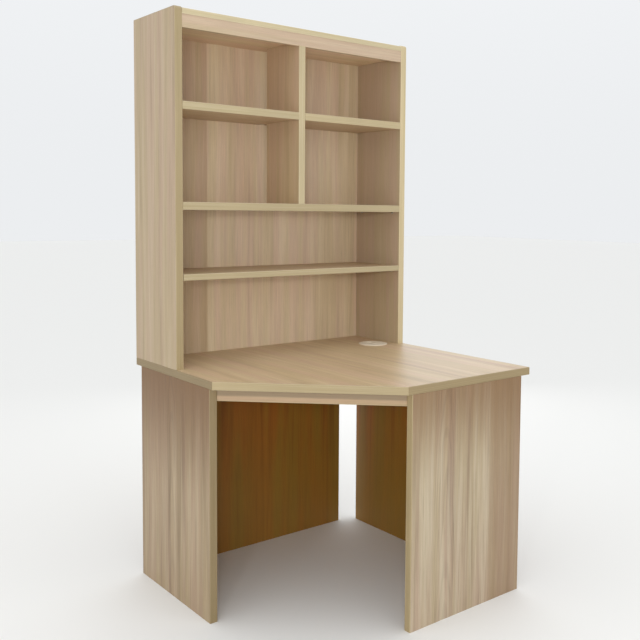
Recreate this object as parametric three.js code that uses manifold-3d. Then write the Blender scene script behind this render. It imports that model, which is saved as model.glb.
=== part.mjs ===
// Corner desk with a hutch bookcase. Millimetres, +Z up. The origin is on the floor, at the centre
// of the desk's square footprint. The room's corner is at +X +Y, the hutch stands along the wall at
// +Y and faces -Y, and the desk's cut front faces the sitter at -X -Y.
import * as THREE from 'three';
import { mergeVertices } from 'three/addons/utils/BufferGeometryUtils.js';
import Module from 'manifold-3d';

const wasm = await Module();
wasm.setup();

// ---- Driving dimensions -------------------------------------------------------------------------

// Boards and their edges
const boardThickness = 25;
const panelThickness = 18;
const bandThickness = 2;
const arrisRadius = 1.8;
const arrisSteps = 3;
const glueLine = 0.2;
const fitGap = 0.3;

// Desk
const deskHeight = 740;
const deskSide = 940;
const sideEdgeLength = 530;
const legFrontSetback = 16;
const legRearSetback = 40;
const leftBackEndSetback = 122;
const rightBackEndSetback = 85;
const railHeight = 38;

// Hutch
const hutchDepth = 300;
const hutchHeight = 1130;
const hutchTopDrop = 4;
const hutchTopThickness = 18;
const roofThickness = 25;
const sideCornerRadius = 10;
const cornerSteps = 5;
const fasciaHeight = 41;
const fasciaRecess = 2;
const hutchBackRecess = 18;
const lowerShelfThickness = 20;
const lowerShelfRise = 281;
const middleShelfRise = 504;
const upperShelfRise = 817;
const shelfEndGap = 1;
const shelfRearGap = 1;
const dividerRearGap = 56;

// Shelf pegs
const pegRadius = 2.5;
const pegDepth = 9;
const pegHeadRadius = 3;
const pegHeadLength = 8;
const pegFrontInset = 40;
const pegRearInset = 36;
const pegRestGap = 0.1;

// Cable port
const portSideInset = 77;
const portRearInset = 243;
const portHoleRadius = 42;
const portFlangeRadius = 55;
const portFlangeThickness = 2.5;
const portWall = 2;
const portLedge = 2;
const portCapThickness = 3;
const portShutterRadius = 28;
const portShutterThickness = 2;
const portMouthWidth = 22;
const portMouthDepth = 20;
const portRunningGap = 0.4;

// Fittings
const dowelRadius = 4;
const dowelLength = 30;
const dowelDepthInWorktop = 12;
const dowelEndInset = 60;
const camRadius = 7.5;
const camThickness = 12.5;
const camCentreInset = 34;
const camHeight = 360;
const camBoltRadius = 3.5;
const camBoltDepthInLeg = 11;
const camBoltReach = 5;
const blockSize = 20;
const blockLength = 42;
const blockChamfer = 9;
const blockHoleRadius = 2.5;
const blockFrontInset = 110;
const blockRearInset = 60;
const bracketThickness = 2;
const bracketFlange = 26;
const bracketEdgeInset = 5;

// ---- Sizes worked out from them -----------------------------------------------------------------

const half = deskSide / 2;
const worktopUnderside = deskHeight - boardThickness;
const legFront = half - sideEdgeLength + legFrontSetback;
const legRear = half - legRearSetback;
const legInner = boardThickness - half;
const backInner = legRear - panelThickness;
const leftBackEnd = half - leftBackEndSetback;
const rightBackEnd = half - rightBackEndSetback;
const hutchInner = half - boardThickness;
const hutchInnerWidth = deskSide - 2 * boardThickness;
const hutchBackRear = -hutchBackRecess;
const hutchBackFront = hutchBackRear - panelThickness;
const topBoardTop = hutchHeight - hutchTopDrop;
const topBoardUnderside = topBoardTop - hutchTopThickness;
const roofUnderside = topBoardUnderside - roofThickness;
const fasciaUnderside = topBoardUnderside - fasciaHeight;
const fasciaFront = fasciaRecess - hutchDepth;
const fasciaRear = fasciaFront + panelThickness;
const middleShelfTop = middleShelfRise + boardThickness;
const portX = hutchInner - portSideInset;
const portY = half - portRearInset;
const portBarrelRadius = portHoleRadius - portRunningGap;
const portBoreRadius = portBarrelRadius - portWall;
const portCapRadius = portBoreRadius - portRunningGap;
const portRound = 48;
const smallRound = 16;
const cutOver = 4;

// ---- Materials ----------------------------------------------------------------------------------

const faceBoard = new THREE.MeshStandardMaterial({ color: 0xb49678, roughness: 0.5, metalness: 0 });
const darkBoard = new THREE.MeshStandardMaterial({ color: 0x8f7355, roughness: 0.55, metalness: 0 });
const edgeBand = new THREE.MeshStandardMaterial({ color: 0xbaa77f, roughness: 0.45, metalness: 0 });
const portPlastic = new THREE.MeshStandardMaterial({ color: 0xb9b09c, roughness: 0.4, metalness: 0 });
const blockPlastic = new THREE.MeshStandardMaterial({ color: 0x6b5238, roughness: 0.5, metalness: 0 });
const steel = new THREE.MeshStandardMaterial({ color: 0xb8b8b5, roughness: 0.35, metalness: 1 });
const beech = new THREE.MeshStandardMaterial({ color: 0xc8a878, roughness: 0.7, metalness: 0 });

// ---- Shape helpers ------------------------------------------------------------------------------

// A closed three.js geometry as a solid for joining and cutting.
function toSolid(geometry) {
  const bare = geometry.clone();
  bare.deleteAttribute('normal');
  bare.deleteAttribute('uv');
  const merged = mergeVertices(bare);
  const vertProperties = new Float32Array(merged.attributes.position.array);
  const triVerts = new Uint32Array(merged.index.array);
  return new wasm.Manifold(new wasm.Mesh({ numProp: 3, vertProperties, triVerts }));
}

function toGeometry(solid) {
  const mesh = solid.getMesh();
  const geometry = new THREE.BufferGeometry();
  geometry.setAttribute('position', new THREE.BufferAttribute(new Float32Array(mesh.vertProperties), 3));
  geometry.setIndex(Array.from(mesh.triVerts));
  geometry.computeVertexNormals();
  return geometry;
}

// Turns a geometry drawn in XY and extruded along +Z so that it runs along another axis. An outline
// then reads (y, z) for a run along x, (z, x) for a run along y and (x, y) for a run along z.
function turnTo(axis, geometry) {
  const turn = new THREE.Matrix4();
  if (axis === 'x') turn.set(0, 0, 1, 0, 1, 0, 0, 0, 0, 1, 0, 0, 0, 0, 0, 1);
  if (axis === 'y') turn.set(0, 1, 0, 0, 0, 0, 1, 0, 1, 0, 0, 0, 0, 0, 0, 1);
  return geometry.applyMatrix4(turn);
}

function shapeOf(outline) {
  return new THREE.Shape(outline.map(([u, v]) => new THREE.Vector2(u, v)));
}

// A straight-sided solid of an outline, from one place to another along an axis.
function prism(axis, outline, from, to) {
  const geometry = new THREE.ExtrudeGeometry(shapeOf(outline), { depth: to - from, bevelEnabled: false });
  geometry.translate(0, 0, from);
  return toSolid(turnTo(axis, geometry));
}

// A round bar along an axis, centred on (u, v).
function bar(axis, u, v, radius, from, to, segments = smallRound) {
  const geometry = new THREE.CylinderGeometry(radius, radius, to - from, segments);
  geometry.rotateX(Math.PI / 2);
  geometry.translate(u, v, (from + to) / 2);
  return toSolid(turnTo(axis, geometry));
}

// A counter-clockwise outline with each edge moved inwards by its own distance.
function inset(outline, distances) {
  const lines = outline.map(([u, v], i) => {
    const [nextU, nextV] = outline[(i + 1) % outline.length];
    const length = Math.hypot(nextU - u, nextV - v);
    const du = (nextU - u) / length;
    const dv = (nextV - v) / length;
    return { u: u - dv * distances[i], v: v + du * distances[i], du, dv };
  });
  return lines.map((line, i) => {
    const before = lines[(i + lines.length - 1) % lines.length];
    const cross = before.du * line.dv - before.dv * line.du;
    const t = ((line.u - before.u) * line.dv - (line.v - before.v) * line.du) / cross;
    return [before.u + before.du * t, before.v + before.dv * t];
  });
}

// A board with softened arrises along some of its edges. The outline is counter-clockwise, and edge
// i runs from point i to the next.
function softBoard(axis, outline, from, to, softEdges) {
  const stock = inset(outline, outline.map((_, i) => (softEdges.includes(i) ? arrisRadius : -cutOver)));
  const geometry = new THREE.ExtrudeGeometry(shapeOf(stock), {
    depth: to - from - 2 * arrisRadius,
    bevelThickness: arrisRadius,
    bevelSize: arrisRadius,
    bevelSegments: arrisSteps,
  });
  geometry.translate(0, 0, from + arrisRadius);
  const trim = inset(outline, outline.map((_, i) => (softEdges.includes(i) ? -cutOver : 0)));
  return toSolid(turnTo(axis, geometry)).intersect(prism(axis, trim, from - cutOver, to + cutOver));
}

// A board and its edge bands, with softened arrises on the bands. Each run is a list of
// neighbouring edges that share one band, and runs that meet do so in a mitre.
function bandedBoard(axis, outline, from, to, runs) {
  const banded = outline.map((_, i) => runs.some((run) => run.includes(i)));
  const softened = softBoard(axis, outline, from, to, runs.flat());
  const coreOutline = inset(outline, banded.map((isBanded) => (isBanded ? bandThickness : 0)));
  const core = softened.intersect(prism(axis, coreOutline, from - cutOver, to + cutOver));
  const count = outline.length;
  const bands = runs.map((run) => {
    const points = [run[0], ...run.map((i) => (i + 1) % count)];
    const strip = [...points.map((i) => outline[i]), ...points.map((i) => coreOutline[i]).reverse()];
    const endGap = banded[points.at(-1)] ? glueLine / 2 : 0;
    const startGap = banded[(run[0] + count - 1) % count] ? glueLine / 2 : 0;
    const gaps = [...run.map(() => -cutOver), endGap, ...run.map(() => glueLine), startGap];
    return softened.intersect(prism(axis, inset(strip, gaps), from - cutOver, to + cutOver));
  });
  return { core, bands };
}

function rectangle(u0, v0, u1, v1) {
  return [[u0, v0], [u1, v0], [u1, v1], [u0, v1]];
}

function addPiece(group, name, solid, material) {
  const mesh = new THREE.Mesh(toGeometry(solid), material);
  mesh.name = name;
  group.add(mesh);
  return mesh;
}

// ---- Places that several pieces share -----------------------------------------------------------

const hutchSideCentres = [['left', -(half - boardThickness / 2)], ['right', half - boardThickness / 2]];
const dowelPlaces = [['front', dowelEndInset - hutchDepth], ['rear', -dowelEndInset]];
const pegPlaces = [['front', pegFrontInset - hutchDepth], ['rear', hutchBackFront - pegRearInset]];
const pegDrop = pegHeadRadius + pegRestGap;
const peggedShelves = [['lower', lowerShelfRise - pegDrop], ['middle', middleShelfRise - pegDrop]];
const blockPlaces = [['front', legFront + blockFrontInset], ['rear', backInner - blockRearInset]];
const camDepthCentre = backInner + panelThickness / 2;

// ---- Desk ---------------------------------------------------------------------------------------

function makeWorktop() {
  const group = new THREE.Group();
  const cut = half - sideEdgeLength;
  const outline = [[half, half], [-half, half], [-half, cut], [cut, -half], [half, -half]];
  const bandNames = ['rear', 'left', 'front', 'right', 'rear_right'];
  const { core, bands } = bandedBoard('z', outline, worktopUnderside, deskHeight, [[0], [1], [2], [3], [4]]);
  let board = core.subtract(
    bar('z', portX, portY, portHoleRadius, worktopUnderside - cutOver, deskHeight + cutOver, portRound));
  for (const [, x] of hutchSideCentres) {
    for (const [, y] of dowelPlaces) {
      const bottom = deskHeight - dowelDepthInWorktop - fitGap;
      board = board.subtract(bar('z', x, half + y, dowelRadius + fitGap, bottom, deskHeight + cutOver));
    }
  }
  addPiece(group, 'worktop', board, faceBoard);
  bands.forEach((band, i) => addPiece(group, `worktop_band_${bandNames[i]}`, band, edgeBand));
  return group;
}

// One leg panel with its front band, and the back panel that closes that side of the knee space.
// Both sides are drawn as the left one: the leg stands across x and the back panel along x.
function makeSideFrame(side, backEnd) {
  const group = new THREE.Group();
  const swap = side === 'right';
  const legOutline = swap
    ? rectangle(0, legFront, worktopUnderside, legRear)
    : rectangle(legFront, 0, legRear, worktopUnderside);
  const legAxis = swap ? 'y' : 'x';
  const legFrontEdge = swap ? 0 : 3;
  const leg = bandedBoard(legAxis, legOutline, -half, legInner, [[legFrontEdge]]);
  const boltBore = bar(legAxis, ...(swap ? [camHeight, camDepthCentre] : [camDepthCentre, camHeight]),
    camBoltRadius + fitGap, legInner - camBoltDepthInLeg - fitGap, legInner + cutOver);
  addPiece(group, `${side}_leg_panel`, leg.core.subtract(boltBore), faceBoard);
  addPiece(group, `${side}_leg_band`, leg.bands[0], edgeBand);

  const backOutline = swap
    ? rectangle(legInner, 0, backEnd, worktopUnderside)
    : rectangle(0, legInner, worktopUnderside, backEnd);
  const backAxis = swap ? 'x' : 'y';
  const backEndEdge = swap ? 1 : 2;
  const back = bandedBoard(backAxis, backOutline, backInner, legRear, [[backEndEdge]]);
  const camCentre = legInner + camCentreInset;
  const camPlace = swap ? [camCentre, camHeight] : [camHeight, camCentre];
  const pocket = bar(backAxis, ...camPlace, camRadius + fitGap, backInner - cutOver,
    backInner + camThickness + fitGap);
  const endBore = bar(legAxis, ...(swap ? [camHeight, camDepthCentre] : [camDepthCentre, camHeight]),
    camBoltRadius + fitGap, legInner - cutOver, camCentre);
  addPiece(group, `${side}_back_panel`, back.core.subtract(pocket).subtract(endBore), darkBoard);
  addPiece(group, `${side}_back_band`, back.bands[0], edgeBand);

  const slotWidth = camBoltRadius + fitGap;
  const slotOutline = swap
    ? rectangle(legInner, camHeight - slotWidth, camCentre, camHeight + slotWidth)
    : rectangle(camHeight - slotWidth, legInner, camHeight + slotWidth, camCentre);
  const slot = prism(backAxis, slotOutline, camDepthCentre - slotWidth, camDepthCentre + slotWidth);
  const cam = bar(backAxis, ...camPlace, camRadius, backInner, backInner + camThickness);
  addPiece(group, `${side}_cam`, cam.subtract(slot), steel);
  const bolt = bar(legAxis, ...(swap ? [camHeight, camDepthCentre] : [camDepthCentre, camHeight]),
    camBoltRadius, legInner - camBoltDepthInLeg, camCentre - camRadius + camBoltReach);
  addPiece(group, `${side}_cam_bolt`, bolt, steel);
  return group;
}

// Moulded blocks that screw each leg panel to the underside of the worktop.
function makeBlocks(side) {
  const group = new THREE.Group();
  const swap = side === 'right';
  const axis = swap ? 'x' : 'y';
  const near = legInner;
  const far = legInner + blockSize;
  const low = worktopUnderside - blockSize;
  const section = [[low, near], [low, far - blockChamfer], [low + blockChamfer, far],
    [worktopUnderside, far], [worktopUnderside, near]];
  const outline = swap ? section.map(([z, across]) => [across, z]) : section.slice().reverse();
  for (const [end, centre] of blockPlaces) {
    const from = centre - blockLength / 2;
    let block = prism(axis, outline, from, from + blockLength);
    const legHole = bar(swap ? 'y' : 'x',
      ...(swap ? [low + blockSize / 2, from + blockLength / 4] : [from + blockLength / 4, low + blockSize / 2]),
      blockHoleRadius, near - cutOver, far + cutOver);
    const topHole = bar('z',
      ...(swap ? [from + 3 * blockLength / 4, near + blockSize / 2]
        : [near + blockSize / 2, from + 3 * blockLength / 4]),
      blockHoleRadius, low - cutOver, worktopUnderside + cutOver);
    block = block.subtract(legHole).subtract(topHole);
    addPiece(group, `${side}_${end}_block`, block, blockPlastic);
  }
  return group;
}

// The rail under the cut front edge runs between the inner front corners of the two leg panels. It
// is drawn square to its own length, with its front face on y = 0, and turned to the cut edge.
function makeRail() {
  const group = new THREE.Group();
  const reach = legInner + fitGap;
  const frontSum = legInner + legFront;
  const rearSum = frontSum + panelThickness * Math.SQRT2;
  const rail = new THREE.Group();
  rail.position.set(frontSum / 2, frontSum / 2, 0);
  rail.rotation.z = -Math.PI / 4;
  const frontHalf = (frontSum / 2 - reach) * Math.SQRT2;
  const plan = [[-frontHalf, 0], [frontHalf, 0],
    [frontHalf + panelThickness, panelThickness], [-frontHalf - panelThickness, panelThickness]];
  const bottom = worktopUnderside - railHeight;
  const ends = prism('z', inset(plan, [-cutOver, 0, -cutOver, 0]), bottom - cutOver, deskHeight);
  const longest = frontHalf + 2 * panelThickness;
  const { core, bands } = bandedBoard('y', rectangle(bottom, -longest, worktopUnderside, longest),
    0, panelThickness, [[3]]);
  addPiece(rail, 'front_rail', core.intersect(ends), faceBoard);
  addPiece(rail, 'front_rail_band', bands[0].intersect(ends), edgeBand);
  group.add(rail);

  // Bent steel brackets behind the rail hold its ends to the legs, across an angle of 135 degrees.
  const corner = [reach + fitGap, rearSum - reach + fitGap];
  const along = bracketFlange * Math.SQRT1_2;
  const across = bracketThickness * Math.SQRT1_2;
  const left = [
    corner,
    [corner[0] + along, corner[1] - along],
    [corner[0] + along + across, corner[1] - along + across],
    [corner[0] + bracketThickness, corner[1] + bracketThickness * (Math.SQRT2 - 1)],
    [corner[0] + bracketThickness, corner[1] + bracketFlange],
    [corner[0], corner[1] + bracketFlange],
  ];
  const right = left.map(([x, y]) => [y, x]).reverse();
  const low = bottom + bandThickness + bracketEdgeInset;
  const high = worktopUnderside - bracketEdgeInset;
  addPiece(group, 'rail_bracket_left', prism('z', left, low, high), steel);
  addPiece(group, 'rail_bracket_right', prism('z', right, low, high), steel);
  return group;
}

// ---- Cable port ---------------------------------------------------------------------------------

// A round piece turned from a closed profile of (radius, height) points.
function turned(points, segments) {
  const profile = [...points, points[0]].map(([r, z]) => new THREE.Vector2(r, z));
  const geometry = new THREE.LatheGeometry(profile, segments);
  geometry.rotateX(Math.PI / 2);
  return toSolid(geometry);
}

function makePort() {
  const group = new THREE.Group();
  group.position.set(portX, portY, deskHeight);
  const capTop = portFlangeThickness;
  const capBottom = capTop - portCapThickness;
  const ledgeTop = capBottom - fitGap;
  const ledgeBottom = ledgeTop - portLedge;
  const barrelBottom = 1 - boardThickness;
  const ledgeRadius = portCapRadius - portLedge;
  const liner = turned([
    [portBarrelRadius, barrelBottom],
    [portBarrelRadius, 0],
    [portFlangeRadius, 0],
    [portFlangeRadius, portFlangeThickness / 2],
    [portFlangeRadius - portFlangeThickness / 2, portFlangeThickness],
    [portBoreRadius, portFlangeThickness],
    [portBoreRadius, ledgeTop],
    [ledgeRadius, ledgeTop],
    [ledgeRadius, ledgeBottom],
    [portBoreRadius, ledgeBottom - portLedge],
    [portBoreRadius, barrelBottom],
  ], portRound);
  addPiece(group, 'cable_port_liner', liner, portPlastic);

  // The cap is a ring with half a floor, and the shutter's mouth turns from over the floor, which
  // shuts the port, to over the open half, which lets cables through.
  const wellRadius = portShutterRadius + portRunningGap;
  const wellBottom = capTop - portShutterThickness;
  const floorHalf = prism('z', rectangle(-portCapRadius, 0, portCapRadius, portCapRadius),
    capBottom - cutOver, capTop + cutOver);
  const seat = bar('z', 0, 0, wellRadius, wellBottom, capTop + cutOver, portRound);
  const mouthHole = bar('z', 0, 0, wellRadius - portLedge, capBottom - cutOver, capTop + cutOver, portRound);
  const capDisc = bar('z', 0, 0, portCapRadius, capBottom, capTop, portRound);
  const cap = capDisc.subtract(seat).subtract(mouthHole.subtract(floorHalf));
  addPiece(group, 'cable_port_cap', cap, portPlastic);

  const mouth = prism('z', rectangle(-portMouthWidth / 2, portShutterRadius - portMouthDepth,
    portMouthWidth / 2, portShutterRadius + cutOver), wellBottom - cutOver, capTop + cutOver);
  const shutterBottom = wellBottom + portRunningGap / 2;
  const shutter = bar('z', 0, 0, portShutterRadius, shutterBottom, capTop, portRound).subtract(mouth);
  addPiece(group, 'cable_port_shutter', shutter, portPlastic);
  return group;
}

// ---- Hutch --------------------------------------------------------------------------------------

// The hutch is drawn from its rear bottom edge: y = 0 is its rear, z = 0 the top of the worktop.
function makeHutch() {
  const group = new THREE.Group();
  group.position.set(0, half, deskHeight);
  for (const [side, centre] of hutchSideCentres) addHutchSide(group, side, centre);

  const top = bandedBoard('z', rectangle(-hutchInner, -hutchDepth, hutchInner, 0),
    topBoardUnderside, topBoardTop, [[0]]);
  addPiece(group, 'hutch_top_board', top.core, faceBoard);
  addPiece(group, 'hutch_top_band', top.bands[0], edgeBand);

  const fasciaOutline = rectangle(fasciaUnderside, -hutchInner, topBoardUnderside, hutchInner);
  const fascia = softBoard('y', fasciaOutline, fasciaFront, fasciaRear, [3]);
  addPiece(group, 'hutch_fascia', fascia, faceBoard);
  const roofSection = rectangle(fasciaRear, roofUnderside, 0, topBoardUnderside);
  addPiece(group, 'hutch_roof_board', prism('x', roofSection, -hutchInner, hutchInner), faceBoard);
  const backSection = rectangle(hutchBackFront, 0, hutchBackRear, roofUnderside);
  addPiece(group, 'hutch_back_panel', prism('x', backSection, -hutchInner, hutchInner), faceBoard);

  addDivider(group);
  const dividerSide = boardThickness / 2;
  addShelf(group, 'upper_left_shelf', -hutchInner, -dividerSide, upperShelfRise, boardThickness);
  addShelf(group, 'upper_right_shelf', dividerSide, hutchInner, upperShelfRise, boardThickness);
  addShelf(group, 'middle_shelf', -hutchInner, hutchInner, middleShelfRise, boardThickness);
  addShelf(group, 'lower_shelf', shelfEndGap - hutchInner, hutchInner - shelfEndGap,
    lowerShelfRise, lowerShelfThickness, shelfRearGap);
  return group;
}

// A side panel with its front band, its two locating dowels and its four shelf pegs.
function addHutchSide(group, side, centre) {
  const from = centre - boardThickness / 2;
  const to = centre + boardThickness / 2;
  const sign = Math.sign(centre);
  const innerFace = sign * hutchInner;
  const corner = Array.from({ length: cornerSteps + 1 }, (_, i) => {
    const angle = (Math.PI / 2) * (1 + i / cornerSteps);
    return [sideCornerRadius * (1 + Math.cos(angle)) - hutchDepth,
      hutchHeight - sideCornerRadius * (1 - Math.sin(angle))];
  });
  const outline = [[-hutchDepth, 0], [0, 0], [0, hutchHeight], ...corner];
  const frontAndTop = outline.map((_, i) => i).slice(2);
  const { core, bands } = bandedBoard('x', outline, from, to, [frontAndTop]);
  let panel = core;
  for (const [place, y] of dowelPlaces) {
    const top = dowelLength - dowelDepthInWorktop;
    panel = panel.subtract(bar('z', centre, y, dowelRadius + fitGap, -cutOver, top + fitGap));
    const dowel = bar('z', centre, y, dowelRadius, -dowelDepthInWorktop, top);
    addPiece(group, `hutch_dowel_${side}_${place}`, dowel, beech);
  }
  for (const [shelf, z] of peggedShelves) {
    for (const [place, y] of pegPlaces) {
      const tip = innerFace + sign * pegDepth;
      const head = innerFace - sign * pegHeadLength;
      const boreTip = tip + sign * fitGap;
      const boreMouth = innerFace - sign * cutOver;
      panel = panel.subtract(bar('x', y, z, pegRadius + fitGap,
        Math.min(boreTip, boreMouth), Math.max(boreTip, boreMouth)));
      const pin = bar('x', y, z, pegRadius, Math.min(tip, innerFace - sign), Math.max(tip, innerFace - sign));
      const headEdge = innerFace - sign * fitGap;
      const knob = bar('x', y, z, pegHeadRadius, Math.min(headEdge, head), Math.max(headEdge, head));
      addPiece(group, `${shelf}_shelf_peg_${side}_${place}`, pin.add(knob), steel);
    }
  }
  addPiece(group, `hutch_${side}_side`, panel, faceBoard);
  addPiece(group, `hutch_${side}_band`, bands[0], edgeBand);
}

// The divider stands on the middle shelf and is notched at its top for the fascia.
function addDivider(group) {
  const outline = rectangle(-hutchDepth, middleShelfTop, hutchBackFront - dividerRearGap, roofUnderside);
  const { core, bands } = bandedBoard('x', outline, -boardThickness / 2, boardThickness / 2, [[3]]);
  const notch = prism('x', rectangle(-hutchDepth - cutOver, fasciaUnderside,
    fasciaRear + fitGap, roofUnderside + cutOver), -boardThickness, boardThickness);
  addPiece(group, 'divider', core.subtract(notch), faceBoard);
  addPiece(group, 'divider_band', bands[0].subtract(notch), edgeBand);
}

function addShelf(group, name, fromX, toX, rise, thickness, rearGap = 0) {
  const outline = rectangle(fromX, -hutchDepth, toX, hutchBackFront - rearGap);
  const { core, bands } = bandedBoard('z', outline, rise, rise + thickness, [[0]]);
  addPiece(group, name, core, faceBoard);
  addPiece(group, `${name}_band`, bands[0], edgeBand);
}

// ---- Assembly -----------------------------------------------------------------------------------

const desk = new THREE.Group();
desk.add(makeWorktop());
desk.add(makeSideFrame('left', leftBackEnd));
desk.add(makeSideFrame('right', rightBackEnd));
desk.add(makeBlocks('left'));
desk.add(makeBlocks('right'));
desk.add(makeRail());
desk.add(makePort());
desk.add(makeHutch());

export default desk;
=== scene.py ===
import math

import bmesh
import bpy
from bpy.props import FloatProperty, FloatVectorProperty, PointerProperty
from mathutils import Matrix, Vector


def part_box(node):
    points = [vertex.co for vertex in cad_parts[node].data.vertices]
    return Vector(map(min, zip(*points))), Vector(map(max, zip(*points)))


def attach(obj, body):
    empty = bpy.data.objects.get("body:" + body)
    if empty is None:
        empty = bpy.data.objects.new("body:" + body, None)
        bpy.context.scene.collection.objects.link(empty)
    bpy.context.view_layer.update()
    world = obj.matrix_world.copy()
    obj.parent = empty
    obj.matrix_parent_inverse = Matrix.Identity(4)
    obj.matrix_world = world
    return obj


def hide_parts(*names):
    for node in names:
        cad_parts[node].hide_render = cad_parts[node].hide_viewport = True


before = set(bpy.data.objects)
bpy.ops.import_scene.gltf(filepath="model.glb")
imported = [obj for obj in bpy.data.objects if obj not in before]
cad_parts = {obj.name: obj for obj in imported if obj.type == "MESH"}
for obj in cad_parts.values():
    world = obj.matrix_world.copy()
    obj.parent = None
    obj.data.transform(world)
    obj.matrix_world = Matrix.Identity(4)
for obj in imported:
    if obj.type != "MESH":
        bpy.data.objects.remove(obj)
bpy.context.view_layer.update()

bl_info = {
    "name": "Corner Desk Finishes",
    "version": (1, 0, 0),
    "blender": (4, 5, 0),
    "location": "3D View > Sidebar > Corner Desk",
    "description": "Board prints, edge bands, fittings and studio for a corner desk with a hutch",
    "category": "Object",
}

MM = 0.001


# ---- Settings ----


def tone(red, green, blue):
    """Display values from 0 to 255 as the linear colour that the shaders mix."""
    return tuple(((value / 255 + 0.055) / 1.055) ** 2.4 for value in (red, green, blue))


def colour(name, description, *display):
    """A colour that the user can change."""
    return FloatVectorProperty(
        name=name, description=description, subtype="COLOR", size=3, min=0, max=1, default=tone(*display))


def length(name, description, millimetres):
    """A length that the user can change."""
    return FloatProperty(
        name=name, description=description, subtype="DISTANCE", unit="LENGTH", min=0,
        default=millimetres * MM)


def share(name, description, default):
    """A plain number from 0 to 1 that the user can change."""
    return FloatProperty(
        name=name, description=description, subtype="FACTOR", min=0, max=1, default=default)


def strength(name, description, default):
    """A light's strength that the user can change."""
    return FloatProperty(name=name, description=description, min=0, default=default)


def angle_of(name, description, degrees):
    """An angle that the user can change."""
    return FloatProperty(
        name=name, description=description, subtype="ANGLE", unit="ROTATION",
        default=math.radians(degrees))


class BoardSettings(bpy.types.PropertyGroup):
    """The printed board's colours and the widths of its grain."""

    straw: colour("Straw", "Ground of the light print where it leans to yellow", 201, 180, 145)
    blush: colour("Blush", "Ground of the light print where it leans to pink", 205, 179, 152)
    cream: colour("Cream", "Palest streaks of the light print", 219, 201, 171)
    umber: colour("Umber", "Darkest lines of the light print", 138, 110, 82)
    # Painted shadow: the grey of the worktop overhang's shadow on the front rail's upper half.
    painted_shadow_grey: colour("Ash", "Grey cast on the front rail's upper half", 141, 130, 108)
    # Painted shade: the brown of the legs' tops, the right leg's right side and the left side's shadow on
    # the hutch's back panel.
    painted_shade_toffee: colour("Toffee", "What the light print deepens to", 150, 112, 70)
    buff: colour("Buff", "Backing of the hutch's back panel", 178, 154, 122)
    walnut: colour("Walnut", "Backing of the boards behind the knees", 96, 70, 44)
    # Painted shade: the knee boards are printed in the three dark browns below for the deep shadow under
    # the worktop; their streaks are the print.
    painted_shade_red: colour("Bark", "Ground of the dark board behind the knees, where it leans to red", 145, 88, 29)
    painted_shade_green: colour("Moss", "Ground of the dark board where it leans to green", 131, 98, 33)
    painted_shade_lines: colour("Soot", "Darkest lines of the dark board", 98, 56, 14)
    chip: colour("Chip", "Wood chips on the boards' unbanded edges", 190, 160, 118)
    glue: colour("Glue", "Dark resin between the chips", 146, 116, 82)
    band_width: length("Band width", "Width of the print's broad bands of colour", 42)
    streak_width: length("Streak width", "Width of the streaks inside a band", 7)
    line_width: length("Line width", "Width of the finest grain lines", 1.6)
    grain_reach: length("Grain reach", "How far a streak runs before it changes", 900)
    roughness: share("Roughness", "How matt the melamine face is", 0.46)


class BandSettings(bpy.types.PropertyGroup):
    """The plastic edge bands."""

    olive: colour("Olive", "Ground of the edge bands", 196, 177, 135)
    sand: colour("Sand", "Pale lines along the edge bands", 212, 194, 156)
    # Paler partly from scraping and partly as a painted highlight along the band's corners.
    scraped_and_highlit: colour("Scraped", "The scraped and buffed corners of a band", 226, 212, 178)
    line_width: length("Line width", "Width of the lines printed on a band", 3)
    roughness: share("Roughness", "How matt a band is", 0.42)


class FittingSettings(bpy.types.PropertyGroup):
    """The port, pegs, cams, blocks, brackets and dowels."""

    port: colour("Port", "Moulded plastic of the cable port", 224, 212, 190)
    block: colour("Block", "Moulded plastic of the joint blocks", 112, 88, 62)
    nickel: colour("Nickel", "Plated steel of the pegs, cams and screws", 198, 196, 190)
    zinc: colour("Zinc", "Plated steel of the brackets", 186, 188, 190)
    beech: colour("Beech", "Wood of the dowels", 206, 172, 126)
    screw_radius: length("Screw head radius", "Radius of the pan heads on the brackets", 4)
    screw_rise: length("Screw head rise", "Height of the pan heads on the brackets", 1.8)


class StageSettings(bpy.types.PropertyGroup):
    """The camera, lights and floor."""

    floor: colour("Floor", "Plain studio floor", 235, 234, 231)
    sky: colour("Sky", "Colour of the light from all round", 236, 238, 240)
    horizon: strength("Horizon", "Strength of the light at eye level", 1.0)
    zenith: strength("Zenith", "Strength of the light overhead", 1.28)
    camera_distance: length("Camera distance", "From the desk's centre line to the camera", 2851.7)
    camera_height: length("Camera height", "Above the floor", 1248.4)
    camera_azimuth: angle_of("Camera azimuth", "Where the camera stands round the desk", -36.0)
    camera_heading: angle_of("Camera heading", "Which way the camera looks, from +Y towards +X", 41.04)
    camera_pitch: angle_of("Camera pitch", "How far the camera looks up", -3.79)
    camera_roll: angle_of("Camera roll", "How far the camera leans", 0.7)
    lens: FloatProperty(
        name="Lens", description="Focal length on a 36 mm sensor", subtype="DISTANCE_CAMERA",
        unit="CAMERA", default=48.1)


SETTING_GROUPS = {
    "corner_desk_boards": BoardSettings,
    "corner_desk_bands": BandSettings,
    "corner_desk_fittings": FittingSettings,
    "corner_desk_stage": StageSettings,
}


# ---- Shader writing ----


class Wire:
    """One value in a shader. Python's arithmetic on it adds Math nodes."""

    def __init__(self, net, socket):
        self.net = net
        self.socket = socket

    def math(self, operation, *others):
        return self.net.node("ShaderNodeMath", {"operation": operation}, dict(enumerate((self, *others))))

    def __add__(self, other):
        return self.math("ADD", other)

    def __sub__(self, other):
        return self.math("SUBTRACT", other)

    def __rsub__(self, other):
        return self.net.node("ShaderNodeMath", {"operation": "SUBTRACT"}, {0: other, 1: self})

    def __mul__(self, other):
        return self.math("MULTIPLY", other)

    __radd__ = __add__
    __rmul__ = __mul__

    def __abs__(self):
        return self.math("ABSOLUTE")

    def rise(self, low, high):
        """0 below low, 1 above high and a smooth step between."""
        return self.net.node(
            "ShaderNodeMapRange", {"interpolation_type": "SMOOTHSTEP"}, {0: self, 1: low, 2: high})


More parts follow.
